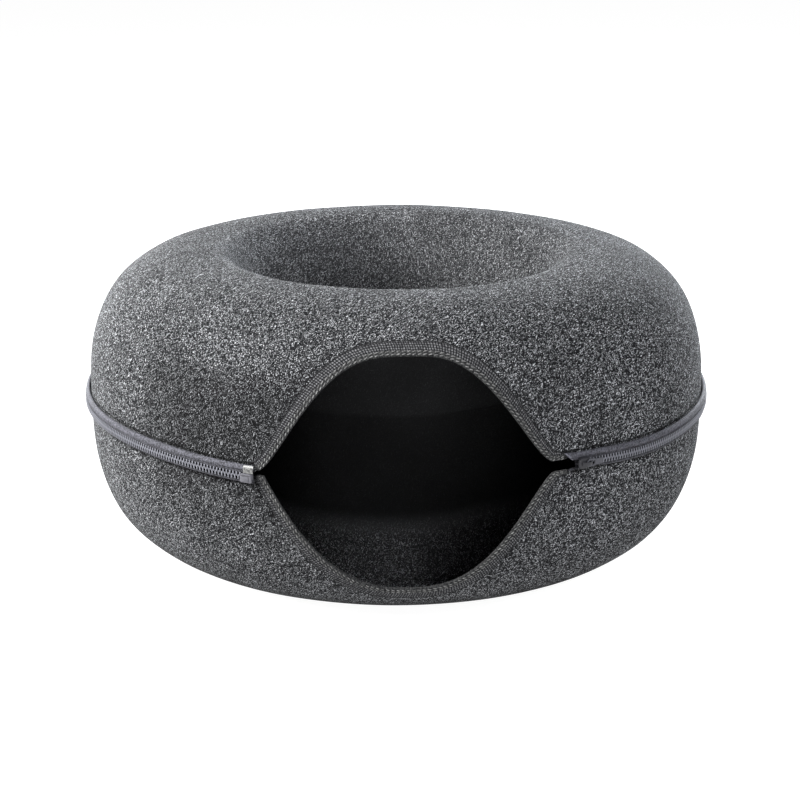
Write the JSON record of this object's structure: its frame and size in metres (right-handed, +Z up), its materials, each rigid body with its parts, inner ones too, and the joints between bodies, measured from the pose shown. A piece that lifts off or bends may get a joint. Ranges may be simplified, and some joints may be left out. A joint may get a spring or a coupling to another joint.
{
  "type": "felt cat tunnel bed",
  "caption": "Ring-shaped tunnel bed of moulded grey felt with a bound entrance in front, an open middle and a zip round its widest level.",
  "frame": {"origin": "on the floor at the middle of the footprint", "axes": "+Z up, entrance towards -Y, +X to the right as seen from the entrance's side"},
  "size_m": [0.5096, 0.4946, 0.234],
  "materials": {
    "felt": "marled dark grey needle felt, short fibres, matt",
    "binding": "dark grey ribbed woven tape with a zigzag stitch",
    "zip_tape": "slightly bluish grey woven tape",
    "zip_teeth": "moulded grey plastic, softly glossy",
    "zip_film": "milky stiffening film",
    "slider": "grey lacquered die casting"
  },
  "bodies": {
    "root": {"shell_upper": "felt", "shell_lower": "felt", "binding_upper": "binding", "binding_lower": "binding", "zip_tape_upper": "zip_tape", "zip_tape_lower": "zip_tape", "zip_chain": "zip_teeth", "zip_box": "zip_teeth", "zip_film": "zip_film", "zip_slider": "slider", "zip_pull": "slider"}
  },
  "joints": []
}
